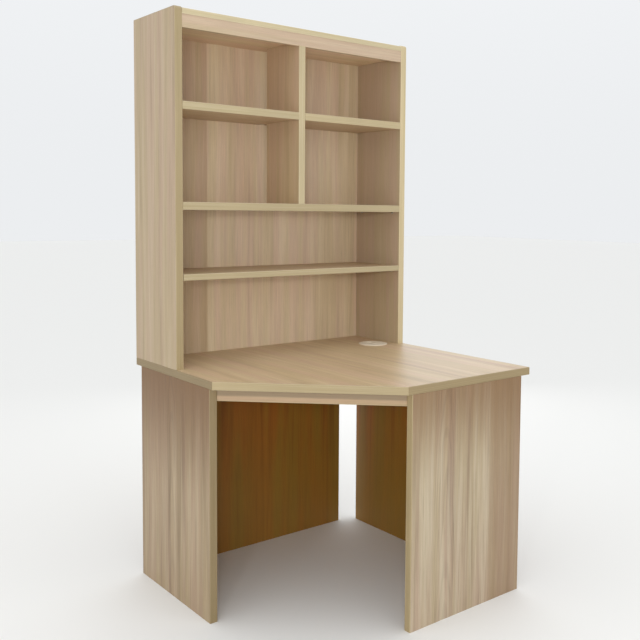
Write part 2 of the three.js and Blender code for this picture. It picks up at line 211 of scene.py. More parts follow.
class Net:
    """The node tree of one material or of the sky."""

    def __init__(self, owner):
        self.owner = owner
        owner.use_nodes = True
        self.tree = owner.node_tree
        self.tree.nodes.clear()

    def node(self, kind, settings=None, sockets=None, output=0):
        """Adds a node: its settings first, then the values or wires of its sockets."""
        made = self.tree.nodes.new(kind)
        for name, value in (settings or {}).items():
            setattr(made, name, value)
        for place, value in (sockets or {}).items():
            socket = made.inputs[place]
            if isinstance(value, Wire):
                self.tree.links.new(value.socket, socket)
            elif socket.type == "RGBA":
                socket.default_value = (*value, 1.0)
            else:
                socket.default_value = value
        return Wire(self, made.outputs[output]) if made.outputs else None

    def split(self, vector):
        first = self.node("ShaderNodeSeparateXYZ", sockets={0: vector})
        return {axis: Wire(self, out) for axis, out in zip("XYZ", first.socket.node.outputs)}

    def join(self, x, y, z):
        return self.node("ShaderNodeCombineXYZ", sockets={0: x, 1: y, 2: z})

    def noise(self, x, y, z, detail=2.0):
        """Cloudy values about 0.5."""
        return self.node("ShaderNodeTexNoise", sockets={
            "Vector": self.join(x, y, z), "Scale": 1.0, "Detail": detail, "Roughness": 0.55})

    def mix(self, factor, first, second):
        """First colour at 0, second at 1."""
        return self.node(
            "ShaderNodeMix", {"data_type": "RGBA"}, {0: factor, 6: first, 7: second}, output=2)

    def shade(self, base, factor):
        """A colour made lighter or darker."""
        return self.node("ShaderNodeVectorMath", {"operation": "SCALE"}, {0: base, "Scale": factor})

    def warm(self, base, warmth):
        """A colour with some of its green and more of its blue taken out."""
        return self.node("ShaderNodeVectorMath", {"operation": "MULTIPLY"}, {
            0: base, 1: (1, 1 - 0.4 * warmth, 1 - warmth)})

    def in_desk_axes(self, output, angle):
        """A texture coordinate's parts in the desk's axes, or in axes turned about Z."""
        vector = self.node("ShaderNodeTexCoord", output=output)
        if angle:
            vector = self.node("ShaderNodeVectorRotate", {"rotation_type": "Z_AXIS"}, {
                "Vector": vector, "Angle": angle})
        return self.split(vector)

    def place(self, angle=0.0):
        """Where a point is."""
        return self.in_desk_axes("Object", angle)

    def facing(self, angle=0.0):
        """Which way a point faces."""
        return self.in_desk_axes("Normal", angle)

    def surface(self, base, roughness, height=None, depth=0.1, **fixed):
        """The shader itself. Height, from 0 to 1, is embossed depth millimetres deep."""
        sockets = {"Base Color": base, "Roughness": roughness}
        sockets.update((name.replace("_", " "), value) for name, value in fixed.items())
        if height is not None:
            sockets["Normal"] = self.node("ShaderNodeBump", sockets={
                "Strength": 1.0, "Distance": depth * MM, "Height": height})
        shader = self.node("ShaderNodeBsdfPrincipled", sockets=sockets)
        self.node("ShaderNodeOutputMaterial", sockets={"Surface": shader})
        return self.owner


def new_net(name):
    """The empty node tree of a new material."""
    return Net(bpy.data.materials.new(name))


def specks(net, place, scale, detail, upright=None):
    """Noise at a scale per metre. Upright is its scale along Z where that differs."""
    return net.noise(place["X"] * scale, place["Y"] * scale, place["Z"] * (upright or scale), detail)


def wear(obj, material):
    """Puts one material on all of an object."""
    obj.data.materials.clear()
    obj.data.materials.append(material)


# ---- Board prints ----

# How a board lies: the axis across its grain, the axis along it and the axis through the board.
FACING_X = ("Y", "Z", "X")
FACING_Y = ("X", "Z", "Y")
SHELF = ("Y", "X", "Z")
TOP = ("X", "Y", "Z")
STRIP = ("Z", "X", "Y")

# What lies along the desk's cut front edge, an eighth of a turn from its sides.
EIGHTH_TURN = math.radians(45)
SLANTED = ("front_rail", "front_rail_band", "worktop_band_front")


def slant(name):
    """How far a piece's own axes are turned about Z from the desk's."""
    return EIGHTH_TURN if name in SLANTED else 0.0


# Each board: how it lies, where its print was cut from the roll, how light and how warm the print is
# there, and how strongly it is figured. The lightness is partly the print's own tone and partly painted
# light and shade: each board is made lighter or darker for how light falls on it.
DESK_BOARDS = {
    "worktop": (TOP, 3.0, 0.94, 0.13, 1.2),
    "left_leg_panel": (FACING_X, 11.0, 0.63, 0.17, 2.3),
    "right_leg_panel": (FACING_Y, 17.0, 0.76, 0.0, 2.0),
    "front_rail": (STRIP, 23.0, 0.78, 0.2, 0.9),
}
# The boards behind the knees: their dark print is painted shade for the shadow under the worktop.
KNEE_BOARDS = {
    "left_back_panel": (FACING_Y, 29.0, 1.36, -0.03, 1.8),
    "right_back_panel": (FACING_X, 31.0, 1.4, -0.03, 1.6),
}
HUTCH_BOARDS = {
    "hutch_left_side": (FACING_X, 37.0, 0.77, 0.07, 1.3),
    "hutch_right_side": (FACING_X, 41.0, 0.83, 0.0, 0.4),
    "hutch_back_panel": (FACING_Y, 47.0, 1.15, -0.04, 0.9),
    "divider": (FACING_X, 53.0, 0.92, 0.11, 0.8),
    "hutch_fascia": (STRIP, 59.0, 0.92, 0.0, 1.0),
    "hutch_roof_board": (SHELF, 61.0, 1.35, 0.0, 0.7),
    "hutch_top_board": (SHELF, 67.0, 0.9, 0.0, 0.7),
    "upper_left_shelf": (SHELF, 71.0, 0.9, 0.12, 0.7),
    "upper_right_shelf": (SHELF, 73.0, 0.9, 0.12, 0.7),
    "middle_shelf": (SHELF, 79.0, 0.9, 0.12, 0.7),
    "lower_shelf": (SHELF, 83.0, 0.86, 0.12, 0.7),
}
# Painted shade on the boards: the axis, where along the board it starts and is full, as shares of
# the board, how much and to which colour. The legs darken towards their tops in the worktop overhang's
# shadow and the right leg also towards its right; the front rail's upper half greys in the same
# shadow; the knee boards turn greener towards the floor; the hutch's back panel darkens in a strip
# down its left, where the left side's shadow falls.
PAINTED_SHADES = (
    ("left_leg_panel", "Z", 0.45, 1.05, 0.95, "painted_shade_toffee"),
    ("right_leg_panel", "Z", 0.6, 1.05, 0.8, "painted_shade_toffee"),
    ("right_leg_panel", "X", 0.64, 0.76, 0.5, "painted_shade_toffee"),
    ("front_rail", "Z", 0.3, 0.5, 0.65, "painted_shadow_grey"),
    ("left_back_panel", "Z", 0.75, 0.2, 0.5, "painted_shade_green"),
    ("right_back_panel", "Z", 0.8, 0.1, 0.8, "painted_shade_green"),
    ("hutch_back_panel", "X", 0.254, 0.247, 0.33, "painted_shade_toffee"),
)
# The hidden face of a board that stands against a wall: which way it faces and the backing's colour.
BACKINGS = {
    "hutch_back_panel": ("Y", "buff"),
    "left_back_panel": ("Y", "walnut"),
    "right_back_panel": ("X", "walnut"),
}
# Boards with a bare edge, which shows the chipboard inside.
UNBANDED = ("hutch_left_side", "hutch_right_side", "hutch_back_panel", "hutch_top_board",
            "hutch_roof_board", "left_leg_panel", "right_leg_panel", "left_back_panel",
            "right_back_panel", "lower_shelf")
# Boards whose print shows nested arches: from the board's edge to the middle of them, in metres.
ARCHED = {"right_leg_panel": 0.14, "left_leg_panel": 0.25}
ARCHES_HALF_WIDTH = 0.11
# Boards rubbed smoother by use: how much less matt they are.
POLISHED = {"worktop": 0.06}
# Boards whose long corners are made pale like a band's: partly scraping, partly a painted highlight.
SCRAPED_AND_HIGHLIT = ("hutch_fascia",)
PORE_REACH = 0.035


def streaks(net, across, along, width, reach, cut, detail=2.0):
    """Noise drawn out along the grain. Width and reach are in metres."""
    return net.noise(across * (1 / width), along * (1 / reach), cut, detail)


def arches(net, across, along, centre, cut):
    """The nested arches of a board sawn near the heart, fading out either side of its centre."""
    off = across - centre
    drift = net.noise(across * 12, along * 3, cut, 2.0)
    rings = off * off * 9000 + along * 34 + drift * 16
    lines = rings.math("SINE") * 0.5 + 0.5
    near = 1 - abs(off).rise(ARCHES_HALF_WIDTH * 0.35, ARCHES_HALF_WIDTH)
    return lines.rise(0.6, 1.0) * near


def chipboard(net, place, cut, look):
    """Pressed chips in dark resin, as a bare cut edge shows them: a colour and a height."""
    point = net.join(place["X"] + cut, place["Y"], place["Z"])
    chips = net.node("ShaderNodeTexVoronoi", {"feature": "F1"}, {
        "Vector": point, "Scale": 420.0, "Randomness": 1.0}, output="Distance")
    dust = specks(net, place, 900, 3.0)
    share_of_chip = 1 - chips.rise(0.2, 0.75) * 0.6 - dust.rise(0.5, 0.75) * 0.4
    return net.mix(share_of_chip, look.glue, look.chip), share_of_chip


def swayed(net, across, along, cut):
    """The place across the grain, where the grain itself wanders from side to side."""
    slow = net.noise(across * 5, along * 1.6, cut, 1.0) - 0.5
    quick = net.noise(across * 30, along * 7, cut + 2.2, 1.0) - 0.5
    return across + slow * 0.014 + quick * 0.0025


def light_print(net, across, along, cut, figure, look):
    """The light print's ground: broad bands between straw and blush with cream and umber streaks."""
    broad = streaks(net, across, along, look.band_width, look.grain_reach, cut + 1.3, 1.5)
    cast = streaks(net, across, along, look.band_width * 0.8, look.grain_reach, cut + 4.1, 2.0)
    pale = streaks(net, across, along, look.streak_width * 1.4, look.grain_reach * 0.6, cut + 5.9, 2.0)
    dark = streaks(net, across, along, look.streak_width * 0.5, look.grain_reach * 0.35, cut + 7.7, 3.0)
    ground = net.mix(broad.rise(0.38, 0.62), look.straw, look.blush)
    ground = net.mix(cast.rise(0.5, 0.72) * (0.5 * figure), ground, look.cream)
    ground = net.mix(cast.rise(0.5, 0.28) * (0.22 * figure), ground, look.umber)
    ground = net.mix(pale.rise(0.5, 0.7) * (0.3 * figure), ground, look.cream)
    return net.mix(dark.rise(0.52, 0.8) * (0.22 * figure), ground, look.umber)


def knee_print_in_painted_shade(net, across, along, cut, figure, look):
    """The knee boards' print: the same figure in reddish and greenish browns, made dark as painted shade
    for the shadow under the worktop.
    """
    broad = streaks(net, across, along, look.band_width * 1.8, look.grain_reach, cut + 1.3, 1.5)
    dark = streaks(net, across, along, look.streak_width * 2.5, look.grain_reach * 0.8, cut + 7.7, 2.0)
    ground = net.mix(broad.rise(0.36, 0.64), look.painted_shade_red, look.painted_shade_green)
    return net.mix(dark.rise(0.45, 0.75) * (0.3 * figure), ground, look.painted_shade_lines)


def with_painted_shades(net, name, place, ground, look):
    """The print's ground, with painted shade where the table says so."""
    low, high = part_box(name)
    for board, axis, start, full, strength, colour_name in PAINTED_SHADES:
        if board == name:
            number = "XYZ".index(axis)
            run = high[number] - low[number]
            # depth is the mask of the painted shade.
            depth = place[axis].rise(low[number] + run * start, low[number] + run * full)
            ground = net.mix(depth * strength, ground, getattr(look, colour_name))
    return ground


def backed(net, name, facing, base, shade, look):
    """The board's face, with a plain backing on the side that stands against a wall."""
    if name not in BACKINGS:
        return base
    axis, colour_name = BACKINGS[name]
    hidden = facing[axis].rise(0.5, 0.9)
    return net.mix(hidden * 0.85, base, net.shade(getattr(look, colour_name), shade))


def board_material(name, lay, cut, lightness_and_painted_shade, warmth, figure, draw_print):
    """One board's melamine print, embossed with its own grain, over chipboard at its bare edges."""
    look = bpy.context.scene.corner_desk_boards
    net = new_net(f"{name} print")
    place, facing = net.place(slant(name)), net.facing(slant(name))
    along = place[lay[1]]
    across = swayed(net, place[lay[0]], along, cut)
    ground = draw_print(net, across, along, cut, figure, look)
    ground = with_painted_shades(net, name, place, ground, look)
    fine = streaks(net, across, along, look.line_width, look.grain_reach * 0.12, cut + 9.2)
    pores = streaks(net, across, along, look.line_width * 0.45, PORE_REACH, cut + 12.5).rise(0.56, 0.7)
    # The lightness brings in painted light and shade as well as the print's own tone.
    shade = (1 + (fine - 0.5) * (0.2 + 0.14 * figure) - pores * 0.1) * lightness_and_painted_shade
    if name in ARCHED:
        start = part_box(name)[0]["XYZ".index(lay[0])]
        shade = shade * (1 - arches(net, across, along, start + ARCHED[name], cut) * 0.1)
    base = backed(net, name, facing, net.warm(net.shade(ground, shade), warmth), shade, look)
    height = fine * 0.5 + (1 - pores) * 0.5
    roughness = look.roughness - POLISHED.get(name, 0) + (fine - 0.5) * 0.12 + pores * 0.08
    if name in UNBANDED:
        bare = 1 - abs(facing[lay[2]]).rise(0.4, 0.6)
        chip, relief = chipboard(net, place, cut, look)
        base = net.mix(bare, base, chip)
        roughness = roughness + bare * 0.4
        height = height * (1 - bare) + relief * bare * 3
    # Painted highlight, partly real scraping: the fascia's long corners are made pale.
    if name in SCRAPED_AND_HIGHLIT:
        bands = bpy.context.scene.corner_desk_bands
        base = net.mix(scraped_and_highlit_corner(facing["Z"]) * 0.8, base, bands.scraped_and_highlit)
    return net.surface(base, roughness, height, depth=0.06)


def scraped_and_highlit_corner(facing_across):
    """1 on the slanting facets between a strip's face and its sides, where the pale scraping and painted
    highlight go.
    """
    tilt = abs(facing_across)
    return tilt.rise(0.1, 0.5) * (1 - tilt.rise(0.9, 0.99))


def print_boards(boards, draw_print):
    """Gives each board in a table its own cut of one print."""
    for name, row in boards.items():
        wear(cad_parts[name], board_material(name, *row, draw_print))


class DESK_OT_print_desk_boards(bpy.types.Operator):
    """Print the worktop, legs, rail and knee boards"""

    bl_idname = "corner_desk.print_desk_boards"
    bl_label = "Print Desk Boards"

    def execute(self, context):
        print_boards(DESK_BOARDS, light_print)
        print_boards(KNEE_BOARDS, knee_print_in_painted_shade)
        return {"FINISHED"}


class DESK_OT_print_hutch_boards(bpy.types.Operator):
    """Print the hutch's sides, back, top, divider and shelves"""

    bl_idname = "corner_desk.print_hutch_boards"
    bl_label = "Print Hutch Boards"

    def execute(self, context):
        print_boards(HUTCH_BOARDS, light_print)
        return {"FINISHED"}


# ---- Edge bands ----

# How far apart on the roll the bands were cut.
BAND_SPACING = 5.0
# Each band: the axis across its width, how light it is and how warm. The lightness is partly the
# band's own tone and partly painted light and shade, set band by band for how light falls on it.
BANDS = {
    "worktop_band_rear": ("Z", 0.7, 0.0),
    "worktop_band_left": ("Z", 0.45, 0.28),
    "worktop_band_front": ("Z", 0.71, 0.08),
    "worktop_band_right": ("Z", 0.56, 0.2),
    "worktop_band_rear_right": ("Z", 0.7, 0.1),
    "front_rail_band": ("Y", 0.85, 0.1),
    "left_leg_band": ("X", 0.48, 0.22),
    "right_leg_band": ("Y", 0.66, 0.15),
    "left_back_band": ("Y", 0.6, 0.1),
    "right_back_band": ("X", 0.6, 0.1),
    "hutch_left_band": ("X", 0.65, 0.12),
    "hutch_right_band": ("X", 1.04, -0.02),
    "hutch_top_band": ("Z", 1.0, -0.12),
    "divider_band": ("X", 0.9, -0.06),
    "upper_left_shelf_band": ("Z", 0.83, -0.03),
    "upper_right_shelf_band": ("Z", 0.85, 0.0),
    "middle_shelf_band": ("Z", 0.77, 0.0),
    "lower_shelf_band": ("Z", 0.8, -0.02),
}


def band_material(name, width_axis, lightness_and_painted_shade, warmth, cut):
    """A strip of printed plastic: lines along it, and corners made pale partly by scraping and partly as a
    painted highlight.
    """
    look = bpy.context.scene.corner_desk_bands
    net = new_net(f"{name} plastic")
    place, facing = net.place(slant(name)), net.facing(slant(name))
    run = [place[axis] for axis in "XYZ" if axis != width_axis]
    along = run[0] + run[1]
    lines = streaks(net, place[width_axis], along, look.line_width, 0.5, cut, 2.5)
    patches = streaks(net, place[width_axis], along, 0.06, 0.16, cut + 3.3, 1.0)
    fine = streaks(net, place[width_axis], along, look.line_width * 0.3, 0.06, cut + 5.1, 2.0)
    base = net.mix(lines.rise(0.35, 0.7) * 0.7, look.olive, look.sand)
    # corner marks where the pale scraping and painted highlight go.
    corner = scraped_and_highlit_corner(facing[width_axis])
    base = net.mix(corner * 0.6, base, look.scraped_and_highlit)
    # The lightness brings in painted light and shade as well as the band's own tone.
    base = net.shade(base, (1 + (patches - 0.5) * 0.16 + (fine - 0.5) * 0.14) * lightness_and_painted_shade)
    base = net.warm(base, warmth)
    roughness = look.roughness + (fine - 0.5) * 0.1 + corner * 0.1
    return net.surface(base, roughness, fine, depth=0.03)


class DESK_OT_finish_edge_bands(bpy.types.Operator):
    """Finish the plastic bands on the boards' edges"""

    bl_idname = "corner_desk.finish_edge_bands"
    bl_label = "Finish Edge Bands"

    def execute(self, context):
        for number, (name, row) in enumerate(BANDS.items()):
            wear(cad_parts[name], band_material(name, *row, BAND_SPACING * number))
        return {"FINISHED"}


# ---- Fittings ----

# Each steel: which of the fittings' colours it has and how matt it is.
STEELS = {
    "nickel plate": ("nickel", 0.28),
    "cast cam": ("nickel", 0.42),
    "rolled bolt": ("zinc", 0.34),
    "zinc screw": ("zinc", 0.34),
    "zinc plate": ("zinc", 0.38),
    "bracket screw": ("nickel", 0.3),
}


def moulded_plastic(name, ground):
    """Plastic out of a spark-eroded mould: one colour with a fine even texture."""
    net = new_net(name)
    place = net.place()
    pits = specks(net, place, 1800, 3.0)
    clouds = specks(net, place, 260, 2.0)
    base = net.shade(ground, 1 + (clouds - 0.5) * 0.12 + (pits - 0.5) * 0.1)
    return net.surface(base, 0.4 + pits * 0.16, pits, depth=0.05)


def plated_steel(name):
    """Bright plated steel with a faint brushed and handled look."""
    colour_name, roughness = STEELS[name]
    net = new_net(name)
    place = net.place()
    brush = specks(net, place, 400, 2.0, upright=3000)
    smears = specks(net, place, 120, 2.0)
    ground = getattr(bpy.context.scene.corner_desk_fittings, colour_name)
    base = net.shade(ground, 1 + (smears - 0.5) * 0.2)
    rough = roughness + (smears - 0.5) * 0.16 + (brush - 0.5) * 0.1
    return net.surface(base, rough, brush, depth=0.01, Metallic=1.0)


def turned_beech(name, ground):
    """Plain beech with short dark flecks along the dowel."""
    net = new_net(name)
    place = net.place()
    grain = specks(net, place, 900, 3.0, upright=40)
    flecks = specks(net, place, 1600, 1.0, upright=300).rise(0.58, 0.7)
    base = net.shade(ground, 1 + (grain - 0.5) * 0.3 - flecks * 0.2)
    return net.surface(base, 0.6 + grain * 0.15, grain, depth=0.05)


# ---- Shapes for the fittings, in millimetres ----

# How many flat sides a turned shape has: a big part that shows, and a small one.
FINE_ROUND = 128
SMALL_ROUND = 40
AS_MADE = Matrix.Identity(4)
SWAP_X_AND_Y = Matrix(((0, 1, 0, 0), (1, 0, 0, 0), (0, 0, 1, 0), (0, 0, 0, 1)))
SWAP_Y_AND_Z = Matrix(((1, 0, 0, 0), (0, 0, 1, 0), (0, 1, 0, 0), (0, 0, 0, 1)))
# The desk's two wings are each other's reflection. Shapes are made for the left one.
WINGS = (("left", AS_MADE), ("right", SWAP_X_AND_Y))
# Edges that turn more than this stay sharp when a piece is smoothed.
SHARP_ANGLE = math.radians(32)


def soften(outline, radius, steps=3):
    """Rounds every corner of a closed outline."""
    rounded = []
    for number, point in enumerate(outline):
        corner = Vector(point)
        before = Vector(outline[number - 1]) - corner
        after = Vector(outline[(number + 1) % len(outline)]) - corner
        start = corner + before.normalized() * min(radius, before.length / 2)
        end = corner + after.normalized() * min(radius, after.length / 2)
        for step in range(steps + 1):
            share_of_turn = step / steps
            first = start.lerp(corner, share_of_turn)
            rounded.append(first.lerp(corner.lerp(end, share_of_turn), share_of_turn))
    return rounded


def mesh_of(shape):
    """The finished mesh of a shape, its faces all outwards."""
    bmesh.ops.recalc_face_normals(shape, faces=shape.faces)
    mesh = bpy.data.meshes.new("shape")
    shape.to_mesh(mesh)
    shape.free()
    return mesh


def turn(profile, segments=SMALL_ROUND, flutes=0, flute_depth=0.0):
    """A solid turned about Z from a closed profile of (radius, height) points."""
    shape = bmesh.new()
    rings = []
    for step in range(segments):
        angle = math.tau * step / segments
        swell = 1 - flute_depth * (0.5 - 0.5 * math.cos(flutes * angle))
        across, up = math.cos(angle) * swell * MM, math.sin(angle) * swell * MM
        rings.append([shape.verts.new((radius * across, radius * up, z * MM)) for radius, z in profile])
    for number, ring in enumerate(rings):
        following = rings[(number + 1) % segments]
        for place in range(len(profile)):
            shape.faces.new((ring[place - 1], ring[place], following[place], following[place - 1]))
    bmesh.ops.remove_doubles(shape, verts=shape.verts, dist=1e-7)
    return mesh_of(shape)


def extrude(outline, low, high, bevel=0.0):
    """A solid drawn upwards from a closed outline of (x, y) points."""
    shape = bmesh.new()
    face = shape.faces.new([shape.verts.new((x * MM, y * MM, low * MM)) for x, y in outline])
    grown = bmesh.ops.extrude_face_region(shape, geom=[face])["geom"]
    top = [item for item in grown if isinstance(item, bmesh.types.BMVert)]
    bmesh.ops.translate(shape, verts=top, vec=(0, 0, (high - low) * MM))
    bmesh.ops.recalc_face_normals(shape, faces=shape.faces)
    if bevel:
        sharp = [edge for edge in shape.edges if edge.calc_face_angle(0) > math.radians(30)]
        bmesh.ops.bevel(shape, geom=sharp, offset=bevel * MM, segments=2, profile=0.5, affect="EDGES")
    return mesh_of(shape)


def gather(meshes):
    """Several closed solids in one mesh."""
    shape = bmesh.new()
    for mesh in meshes:
        shape.from_mesh(mesh)
        bpy.data.meshes.remove(mesh)
    return mesh_of(shape)


def spun(make, count):
    """Copies of a solid set round the Z axis."""
    copies = []
    for number in range(count):
        mesh = make()
        mesh.transform(Matrix.Rotation(math.tau * number / count, 4, "Z"))
        copies.append(mesh)
    return gather(copies)


def carve(mesh, cutter):
    """The first solid with the second cut out of it."""
    block = bpy.data.objects.new("block", mesh)
    tool = bpy.data.objects.new("tool", cutter)
    for obj in (block, tool):
        bpy.context.scene.collection.objects.link(obj)
    cut = block.modifiers.new("Cut", "BOOLEAN")
    cut.operation = "DIFFERENCE"
    cut.solver = "EXACT"
    cut.object = tool
    seen = bpy.context.evaluated_depsgraph_get()
    carved = bpy.data.meshes.new_from_object(block.evaluated_get(seen))
    for obj in (block, tool):
        bpy.data.objects.remove(obj)
    return carved


def box_outline(x0, y0, x1, y1):
    """A rectangle from two of its corners."""
    return [(x0, y0), (x1, y0), (x1, y1), (x0, y1)]


def cross_outline(reach, half):
    """A plus sign: how far its arms reach and half their width."""
    quarter = [Vector((half, half)), Vector((half, reach)), Vector((-half, reach))]
    return [point @ Matrix.Rotation(-math.pi / 2 * turns, 2) for turns in range(4) for point in quarter]


def aimed(place, direction):
    """Puts a shape's origin at a place, with its Z axis along a direction."""
    return Matrix.Translation(place) @ Vector(direction).to_track_quat("Z", "Y").to_matrix().to_4x4()


def add_piece(name, mesh, where, material, body="root", stands_for=None, wing=AS_MADE):
    """Adds a finished piece that moves with one body and may stand for a plain node."""
    mesh.name = name
    mesh.transform(where)
    mesh.transform(wing)
    if wing.is_negative:
        mesh.flip_normals()
    mesh.shade_smooth()
    mesh.set_sharp_from_angle(angle=SHARP_ANGLE)
    piece = bpy.data.objects.new(name, mesh)
    bpy.context.scene.collection.objects.link(piece)
    wear(piece, material)
    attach(piece, body)
    if stands_for:
        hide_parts(stands_for)
    return piece


# ---- Cable port ----

GROOVE = 0.35
GRIP_RIBS = 40
CLEARANCE = 0.4
LINER_WALL = 2.0
SHUTTER_SEAT = 1.6
MOUTH_WIDTH = 22
MOUTH_DEPTH = 20
# Where the shutter's three fingertip ridges are, along Y from its middle.
RIDGE_PLACES = (-18, -14, -10)


def port_liner(flange, cap, depth, rise):
    """The flanged barrel: a domed flange with a fine groove, and the ledge that the cap sits on."""
    bore = cap + CLEARANCE
    barrel = bore + LINER_WALL
    ledge = bore - 2.4
    groove = flange - 4.6
    profile = [
        (barrel, -depth), (barrel, 0), (flange, 0), (flange, rise * 0.35), (flange - 1.2, rise * 0.86),
        (groove, rise), (groove - 0.3, rise - GROOVE), (groove - 0.7, rise - GROOVE), (groove - 1, rise),
        (bore + 0.5, rise), (bore, rise - 0.5), (bore, -0.8), (ledge, -0.8), (ledge, -2.8), (bore, -4.8),
        (bore, -depth)]
    return turn(soften(profile, 0.3), FINE_ROUND)


def port_cap(radius, shutter, low, rise):
    """The lift-out ring: a ribbed face round the shutter's well, over half a floor."""
    well = shutter + CLEARANCE
    mouth = shutter - SHUTTER_SEAT
    face = rise - GROOVE
    seat = rise - 2
    profile = [
        (radius, low), (radius, rise - 0.4), (radius - 0.4, rise), (radius - 2, rise), (radius - 2.4, face),
        (well + 2.4, face), (well + 2, rise), (well, rise), (well, seat), (mouth, seat), (mouth, low)]
    ring = turn(soften(profile, 0.15), FINE_ROUND)
    floor_round = [(mouth + 0.3) * Vector((math.cos(turned), math.sin(turned)))
                   for turned in (math.pi * step / 48 for step in range(49))]
    floor = extrude(floor_round, low + 0.1, seat - 0.1)
    rib = soften(box_outline(well + 3.4, -0.4, radius - 3.4, 0.4), 0.35)
    ribs = spun(lambda: extrude(rib, face - 0.4, rise - 0.05), GRIP_RIBS)
    return gather([ring, floor, ribs])


def port_shutter(radius, low, high):
    """The turning disc: a soft-cornered mouth and three ridges for a fingertip."""
    face = high - GROOVE
    profile = [(0, low), (radius, low), (radius, high - 0.3), (radius - 0.3, high), (radius - 1.5, high),
               (radius - 1.9, face), (0, face)]
    disc = turn(profile, FINE_ROUND)
    half = MOUTH_WIDTH / 2
    mouth = soften(box_outline(-half, radius - MOUTH_DEPTH, half, radius + 9), 4, 6)
    ridges = [extrude(soften(box_outline(-8, y - 0.7, 8, y + 0.7), 0.6), face - 0.5, high - 0.05)
              for y in RIDGE_PLACES]
    return gather([carve(disc, extrude(mouth, low - 3, high + 3)), *ridges])


class DESK_OT_fit_cable_port(bpy.types.Operator):
    """Mould the cable port's liner, cap and shutter"""

    bl_idname = "corner_desk.fit_cable_port"
    bl_label = "Fit Cable Port"

    def execute(self, context):
        plastic = moulded_plastic("port plastic", context.scene.corner_desk_fittings.port)
        liner_low, liner_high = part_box("cable_port_liner")
        cap_low, cap_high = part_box("cable_port_cap")
        shutter_low, shutter_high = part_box("cable_port_shutter")
        worktop_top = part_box("worktop")[1].z
        centre = (liner_low + liner_high) / 2
        where = Matrix.Translation((centre.x, centre.y, worktop_top))
        rise = (liner_high.z - worktop_top) / MM
        flange = (liner_high.x - liner_low.x) / 2 / MM
        cap = (cap_high.x - cap_low.x) / 2 / MM
        shutter = (shutter_high.x - shutter_low.x) / 2 / MM
        mouldings = (
            ("liner", "root", port_liner(flange, cap, (worktop_top - liner_low.z) / MM, rise)),
            ("cap", "port_cap", port_cap(cap, shutter, (cap_low.z - worktop_top) / MM, rise)),
            ("shutter", "port_shutter", port_shutter(shutter, (shutter_low.z - worktop_top) / MM, rise)),
        )
        for part, body, mesh in mouldings:
            add_piece(f"port_{part}_moulding", mesh, where, plastic, body,
                      f"cable_port_{part}")
        return {"FINISHED"}


# ---- Steel fittings and dowels ----

CROSS_REACH = 0.52
CROSS_HALF_WIDTH = 0.13
SCREW_SHANK = 1.9
BLOCK_CHAMFER = 9
HEAD_SINK = 4.5
HEAD_CLEARANCE = 0.5
BRACKET_THICKNESS = 2
BRACKET_FLANGE = 26
BRACKET_EDGE_RADIUS = 0.35
# Where along a bracket's flange its screw is.
SCREW_ALONG_FLANGE = 0.55
# How far a screw's head stands off its seat.
SCREW_STANDOFF = 0.05
# A bracket's screw has only its head: this stub closes the underside.
STUB = 0.02
CAM_SLOT_HALF_WIDTH = 3.8
CAM_SLOT_DEPTHS = (-10.8, -3.6)
FLUTES = 18
FLUTE_DEPTH = 0.09


def pan_head_screw(radius, rise, reach):
    """A domed head on Z = 0 with a cross recess, and a shank with ring threads below it."""
    shank = SCREW_SHANK
    crown = [(radius * math.sin(turned), rise * (0.35 + 0.65 * math.cos(turned)))
             for turned in (math.pi / 2 * step / 8 for step in range(9))]
    threads = []
    pitch = shank * 0.55
    for number in range(int(reach / pitch) - 1):
        threads += [(shank, -pitch * (number + 0.6)), (shank * 0.78, -pitch * (number + 1.1))]
    profile = [*crown, (radius, 0), (shank * 0.8, 0), *threads, (0, -reach)]
    recess = extrude(cross_outline(radius * CROSS_REACH, radius * CROSS_HALF_WIDTH), rise * 0.25, rise + 3)
    return carve(turn(profile), recess)


def shelf_peg(pin, head, pin_reach, head_reach):
    """A pushed-in pin with a collar, and a grooved head with a domed end. The side is at Z = 0."""
    neck = pin - 0.25
    groove = head - 0.35
    profile = [
        (0, -pin_reach), (pin - 0.7, -pin_reach), (pin, -pin_reach + 0.9), (pin, -4.6), (neck, -4.4),
        (neck, -3.9), (pin, -3.7), (pin, 0.3), (head, 0.3), (head, 1.6), (groove, 1.9), (groove, 2.3),
        (head, 2.6), (head, head_reach - 1.1), (head - 0.3, head_reach - 0.5),
        (head - 1.1, head_reach - 0.1), (0, head_reach)]
    return turn(profile)


def cam_disc(radius, thickness):
    """A cast cam: a chamfered rim, a cross recess and a pointer in its face, and the bolt's slot."""
    profile = [(0, -thickness), (radius - 0.4, -thickness), (radius, -thickness + 0.4), (radius, -0.5),
               (radius - 0.5, 0), (radius - 1.6, 0), (radius - 1.8, -0.3), (0, -0.3)]
    disc = turn(profile, 64)
    disc = carve(disc, extrude(cross_outline(radius * 0.5, radius * CROSS_HALF_WIDTH), -3.2, 1))
    pointer = [(-radius * 0.82, 0), (-radius * 0.6, radius * 0.16), (-radius * 0.6, -radius * 0.16)]
    disc = carve(disc, extrude(pointer, -0.9, 1))
    slot = box_outline(-radius - 1, -CAM_SLOT_HALF_WIDTH, 0.0, CAM_SLOT_HALF_WIDTH)
    return carve(disc, extrude(slot, *CAM_SLOT_DEPTHS))


def cam_bolt(radius, length_in_leg, length_out):
    """A bolt whose threaded end is in the leg and whose grooved head is held by the cam."""
    neck = radius * 0.6
    body = radius * 0.85
    threads = []
    for number in range(int(length_in_leg) - 1):
        threads += [(radius, -number - 0.6), (radius * 0.8, -number - 1.1)]
    profile = [(0, length_out), (radius - 0.8, length_out), (radius, length_out - 0.8),
               (radius, length_out - 2.4), (neck, length_out - 3.2), (neck, length_out - 6),
               (body, length_out - 7), (body, 1), (radius, 1), (radius, 0), *threads, (0, -length_in_leg)]
    return turn(profile)


